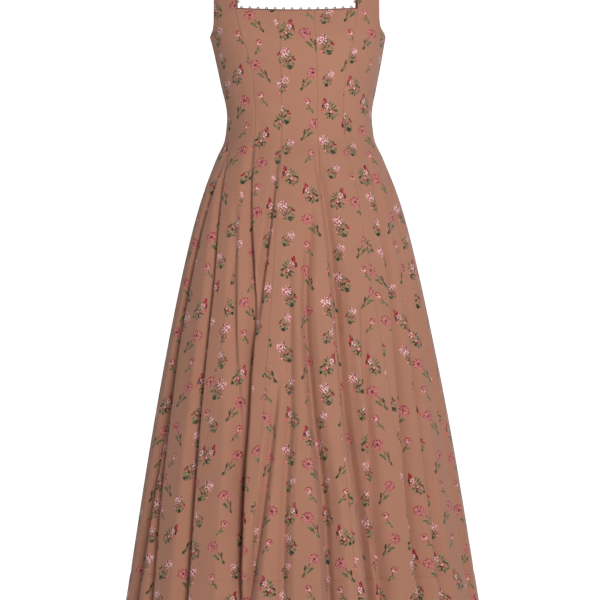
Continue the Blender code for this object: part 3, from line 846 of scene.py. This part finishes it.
def worn_brass():
    shade = Shade("antique brass")
    place = shade.add("ShaderNodeTexCoord").outputs["Object"]
    noise = shade.add("ShaderNodeTexNoise")
    shade.feed(noise.inputs["Vector"], place)
    noise.inputs["Scale"].default_value = 700.0
    colour = shade.mix(noise.outputs["Fac"], (0.22, 0.15, 0.08, 1), (0.52, 0.40, 0.22, 1))
    shade.feed(shade.shader.inputs["Base Color"], colour)
    shade.feed(shade.shader.inputs["Roughness"],
               shade.math("MULTIPLY_ADD", noise.outputs["Fac"], 0.3, 0.22))
    shade.shader.inputs["Metallic"].default_value = 1.0
    return shade.material


def finish_piece(piece, slot, *nodes):
    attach(piece, "dress")
    if nodes:
        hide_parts(*nodes)


def side_grain(side, back):
    """The grain line of a side panel: down the strap's middle, then to the panel's middle."""
    def guide(z):
        princess = (BACK_PRINCESS if back else FRONT_PRINCESS)(side)(z)
        middle = (princess + side * math.pi / 2) / 2
        strap = angle_at(np.full_like(z, side * (STRAP_INNER + STRAP_OUTER) / 2), z, back)
        blend = np.clip((UNDERARM_Z - z) / (150 * MM), 0, 1)
        blend = blend * blend * (3 - 2 * blend)
        return strap + (middle - strap) * blend
    return guide


def make_panel(node, start_edge, end_edge, back, materials, shift, side=0):
    """One panel's cloth. A side panel, with its side given, carries half of a strap."""
    top = BACK_NECK_Z if back else NECK_Z
    guide = side_grain(side, back) if side else None
    points, shares, width, grain = body_grid(start_edge, end_edge, top, not back and not side, guide)
    if side:
        across = side * (STRAP_INNER + (STRAP_OUTER - STRAP_INNER) * shares[-1])
        points[-1] = surface(angle_at(across, top, back), np.full_like(across, top))
    points = detail(points, shares, width, (True, not side), not back)
    if side:
        rises = np.linspace(0, 1, STRAP_STEPS + 1)[1:]
        strap = np.stack([strap_points(across, rise, back) for rise in rises])
        points = np.concatenate([points, strap])
        shares = np.concatenate([shares, np.repeat(shares[-1:], STRAP_STEPS, axis=0)])
        grain = np.concatenate([grain, np.full(STRAP_STEPS, 0.5)])
    points, count = turned_hem(points)
    shares = np.concatenate([shares[count - 2::-1], shares[:1], shares])
    grain = np.concatenate([grain[count - 2::-1], grain[:1], grain])
    uv = cloth_uv(points, shares, grain) + shift
    piece = sheet_object("cloth_" + node, points, uv, materials)
    finish_piece(piece, "cloth", node)
    return piece


def make_cloth(materials):
    """All eleven panels. Each gets its own place on the printed cloth."""
    make_panel("front_centre", FRONT_INNER(-1), FRONT_INNER(1), False, materials,
               (0.03, 0.02))
    for side, name in ((1, "left"), (-1, "right")):
        far = 0.31 if side > 0 else 0.0
        make_panel("front_mid_" + name, FRONT_INNER(side), FRONT_PRINCESS(side),
                   False, materials, (1.2 + far, 0.085 + 0.5 * far))
        make_panel("front_side_" + name, FRONT_PRINCESS(side),
                   armhole_angle(side, False), False, materials, (2.4 + far, 0.145 + 0.7 * far), side)
        make_panel("back_centre_" + name, centre_back(side), BACK_INNER(side),
                   True, materials, (3.6 + far, 0.11 + 0.4 * far))
        make_panel("back_mid_" + name, BACK_INNER(side), BACK_PRINCESS(side),
                   True, materials, (4.8 + far, 0.05 + 0.6 * far))
        make_panel("back_side_" + name, BACK_PRINCESS(side),
                   armhole_angle(side, True), True, materials, (6.0 + far, 0.17 + 0.3 * far), side)


def tube_mesh(lines, radius, sides=7):
    """Vertices and faces of round threads along several lines of points."""
    verts, faces = [], []
    turns = np.arange(sides) * 2 * math.pi / sides
    for line in lines:
        line = np.asarray(line, float)
        along = np.gradient(line, axis=0)
        along /= np.linalg.norm(along, axis=1, keepdims=True)
        side = np.cross(along, (0.31, 0.87, 0.38))
        side /= np.linalg.norm(side, axis=1, keepdims=True)
        up = np.cross(along, side)
        ring = (line[:, None] + radius * (side[:, None] * np.cos(turns)[:, None]
                                          + up[:, None] * np.sin(turns)[:, None]))
        base = len(verts)
        verts.extend(ring.reshape(-1, 3).tolist())
        for i in range(len(line) - 1):
            for j in range(sides):
                k = (j + 1) % sides
                faces.append((base + i * sides + j, base + i * sides + k,
                              base + (i + 1) * sides + k, base + (i + 1) * sides + j))
        faces.append([base + j for j in range(sides)][::-1])
        faces.append([base + (len(line) - 1) * sides + j for j in range(sides)])
    return verts, faces


def thread_piece(name, lines, radius, material, slot, *nodes):
    verts, faces = tube_mesh(lines, radius)
    mesh = bpy.data.meshes.new(name)
    mesh.from_pydata(verts, [], faces)
    mesh.materials.append(material)
    mesh.shade_smooth()
    piece = bpy.data.objects.new(name, mesh)
    bpy.context.scene.collection.objects.link(piece)
    finish_piece(piece, slot, *nodes)
    return piece


def picot_lines(edge, stations):
    """A cord along an edge and a small loop at each station. Edge gives point and away."""
    samples = np.linspace(0, 1, 90)
    base = edge(samples)
    cord = base[0] + base[1] * CORD_LIFT
    lengths = np.concatenate([[0], np.cumsum(np.linalg.norm(np.diff(cord, axis=0), axis=1))])
    lines = [cord]
    for station in stations(lengths[-1]):
        turns = np.linspace(-0.35, math.pi + 0.35, 11)
        places = station + LOOP_HALF * np.cos(turns)
        point, away = edge(np.interp(places, lengths, samples))
        height = CORD_LIFT + LOOP_HEIGHT * np.clip(np.sin(turns), -0.2, 1)
        lines.append(point + away * height[:, None])
    return lines


def even_stations(length):
    count = max(int(length / PICOT_SPACING), 1)
    margin = (length - (count - 1) * PICOT_SPACING) / 2
    return [margin + k * PICOT_SPACING for k in range(count)]


def neck_edge(first, last, back):
    def edge(share):
        across = first + (last - first) * share
        z = np.full_like(across, BACK_NECK_Z) if back else neck_z(across)
        point = surface(angle_at(across, z, back), z)
        inward = point * (1, 1, 0)
        inward /= np.linalg.norm(inward, axis=-1, keepdims=True)
        return point - inward * SHELL_WALL / 2, np.broadcast_to((0.0, 0.0, 1.0), point.shape)
    return edge


def strap_edge(side):
    def edge(share):
        share = np.asarray(share, float)
        rise = 0.02 + 0.98 * (1 - np.abs(2 * share - 1))
        across = np.full_like(share, side * STRAP_INNER)
        front, rear = strap_points(across, rise, False), strap_points(across, rise, True)
        point = np.where((share > 0.5)[:, None], rear, front)
        inward = np.array((-side, 0.0, 0.0))
        down = np.stack([0 * share, -np.sign(point[:, 1]) * 0.4, 0 * share - 0.6], axis=1)
        return point + down * SHELL_WALL, np.broadcast_to(inward, point.shape)
    return edge


def make_picots(material):
    """Thread picots round the whole neck edge, in place of the plain trims."""
    corner = STRAP_INNER - 1.5 * MM
    thread_piece("picots_front_neck", picot_lines(neck_edge(-corner, corner, False), even_stations),
                 THREAD, material, "trim", "trim_front_neck")
    for side, name in ((1, "left"), (-1, "right")):
        thread_piece("picots_strap_" + name, picot_lines(strap_edge(side), even_stations),
                     THREAD, material, "trim", "trim_strap_" + name)
        edge = neck_edge(side * 2 * MM, side * corner, True)
        thread_piece("picots_back_neck_" + name, picot_lines(edge, even_stations),
                     THREAD, material, "trim", "trim_back_neck_" + name)


def make_stitches(material):
    """The hem's line of machine stitches."""
    turns = np.linspace(-math.pi, math.pi, 2401)
    z = np.full_like(turns, HEM_Z + HEM_DEPTH)
    line = surface(turns, z)
    out = line * (1, 1, 0)
    out /= np.linalg.norm(out, axis=1, keepdims=True)
    line = line - out * (HEM_GROOVE - HEM_LIFT / 2 - STITCH * 0.6)
    lengths = np.concatenate([[0], np.cumsum(np.linalg.norm(np.diff(line, axis=0), axis=1))])
    lines = []
    for k in range(int(lengths[-1] / STITCH_PITCH)):
        places = k * STITCH_PITCH + np.linspace(0.12, 0.88, 4) * STITCH_PITCH
        lines.append(np.stack([np.interp(places, lengths, line[:, axis]) for axis in range(3)], axis=1))
    thread_piece("hem_stitches", lines, STITCH, material, "trim")


def make_zip(tape, coil):
    """Woven tapes and coil of the centre back zip."""
    heights = np.arange(ZIP_END, BACK_NECK_Z - 2 * MM, 4 * MM)
    for side, name in ((1, "left"), (-1, "right")):
        across = side * np.linspace(ZIP_EDGE, ZIP_EDGE + TAPE_WIDTH, 6)
        z = np.repeat(heights[:, None], 6, axis=1)
        points = surface(angle_at(across[None, :] + 0 * z, z, True), z)
        points = points - normals_of(points) * TAPE_INSIDE
        uv = np.stack([np.abs(across)[None, :] + 0 * z, z], axis=-1)
        piece = sheet_object("tape_" + name, points, uv, (tape,), 0.5 * MM)
        finish_piece(piece, "zip_tape", "zip_tape_" + name)
        middle = np.full_like(heights, side * ZIP_EDGE)
        line = surface(angle_at(middle, heights, True), heights)
        turns = np.arange(ZIP_END, BACK_NECK_Z - 14 * MM, COIL_PITCH / 8)
        spot = np.stack([np.interp(turns, heights, line[:, axis]) for axis in range(3)], axis=1)
        phase = (turns - ZIP_END) / COIL_PITCH * 2 * math.pi
        spot[:, 0] += COIL_RADIUS * np.cos(phase)
        spot[:, 1] += COIL_RADIUS * np.sin(phase) - TAPE_INSIDE + 0.3 * MM
        thread_piece("coil_" + name, [spot], COIL_THREAD, coil, "zip_tape")


def add_light(name, place, target, size, energy):
    data = bpy.data.lights.new(name, "AREA")
    data.shape = "SQUARE"
    data.size = size
    data.energy = energy
    lamp = bpy.data.objects.new(name, data)
    lamp.location = place
    data.spread = math.radians(LIGHT_SPREAD)
    lamp.rotation_euler = (Vector(target) - Vector(place)).to_track_quat("-Z", "Y").to_euler()
    bpy.context.scene.collection.objects.link(lamp)


def soft_world():
    """Soft white light all round, stronger from behind the dress, as off a lit white wall."""
    world = bpy.data.worlds.new("studio")
    world.use_nodes = True
    nodes, links = world.node_tree.nodes, world.node_tree.links
    background = nodes["Background"]
    background.inputs["Color"].default_value = (1, 1, 1, 1)
    split = nodes.new("ShaderNodeSeparateXYZ")
    behind = nodes.new("ShaderNodeMapRange")
    behind.inputs["From Max"].default_value = 0.4
    behind.inputs["To Min"].default_value = AMBIENT
    behind.inputs["To Max"].default_value = AMBIENT_BEHIND
    links.new(nodes.new("ShaderNodeTexCoord").outputs["Generated"], split.inputs[0])
    links.new(split.outputs["Y"], behind.inputs["Value"])
    links.new(behind.outputs[0], background.inputs["Strength"])
    return world


def set_stage():
    """A pale floor, a white surround, soft lights and the camera."""
    scene = bpy.context.scene
    bpy.ops.mesh.primitive_plane_add(size=5.0, location=(0, 0, FLOOR_Z))
    floor = bpy.context.object
    floor.name = "floor"
    shade = Shade("pale floor")
    shade.shader.inputs["Base Color"].default_value = (0.88, 0.88, 0.88, 1)
    shade.shader.inputs["Roughness"].default_value = 0.9
    shade.shader.inputs["Emission Color"].default_value = (1, 1, 1, 1)
    shade.shader.inputs["Emission Strength"].default_value = FLOOR_GLOW
    floor.data.materials.append(shade.material)
    bpy.ops.mesh.primitive_uv_sphere_add(segments=64, ring_count=32, radius=SURROUND_RADIUS)
    surround = bpy.context.object
    surround.name = "surround"
    glow = Shade("white surround")
    glow.shader.inputs["Base Color"].default_value = (1, 1, 1, 1)
    glow.shader.inputs["Emission Color"].default_value = (1, 1, 1, 1)
    glow.shader.inputs["Emission Strength"].default_value = 1.0
    surround.data.materials.append(glow.material)
    surround.visible_diffuse = False
    surround.visible_glossy = False
    surround.visible_shadow = False
    scene.world = soft_world()
    add_light("key", (0.9, -3.5, 0.3), (0, 0, -0.2), 1.0, 26)
    add_light("fill", (-2.6, -2.6, 0.2), (0, 0, -0.7), 1.6, 1)
    scene.view_settings.view_transform = "Standard"
    data = bpy.data.cameras.new("camera")
    data.sensor_width = SENSOR
    data.lens = SENSOR * CAMERA_DISTANCE / FRAME_HEIGHT
    data.clip_end = 50
    camera = bpy.data.objects.new("camera", data)
    camera.location = (CAMERA_X, -CAMERA_DISTANCE, CAMERA_HEIGHT)
    camera.rotation_euler = (math.pi / 2, 0, 0)
    scene.collection.objects.link(camera)
    scene.camera = camera


def dress_frame():
    """Worn brass on the slider and pull of the frame, whose shape is right."""
    brass = worn_brass()
    for name in ("zip_slider", "zip_pull"):
        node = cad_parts[name]
        node.data.materials.clear()
        node.data.materials.append(brass)


make_cloth((cotton("printed cotton"), cotton("cotton reverse", 0.62)))
make_picots(plain_thread("picot thread", linear(140, 90, 80), 0.8 * MM))
make_stitches(plain_thread("sewing thread", linear(158, 110, 92), 0.6 * MM))
make_zip(plain_thread("zip tape weave", linear(150, 98, 84), 0.6 * MM),
         plain_thread("zip coil", linear(128, 84, 72), 0.5 * MM))
dress_frame()
set_stage()
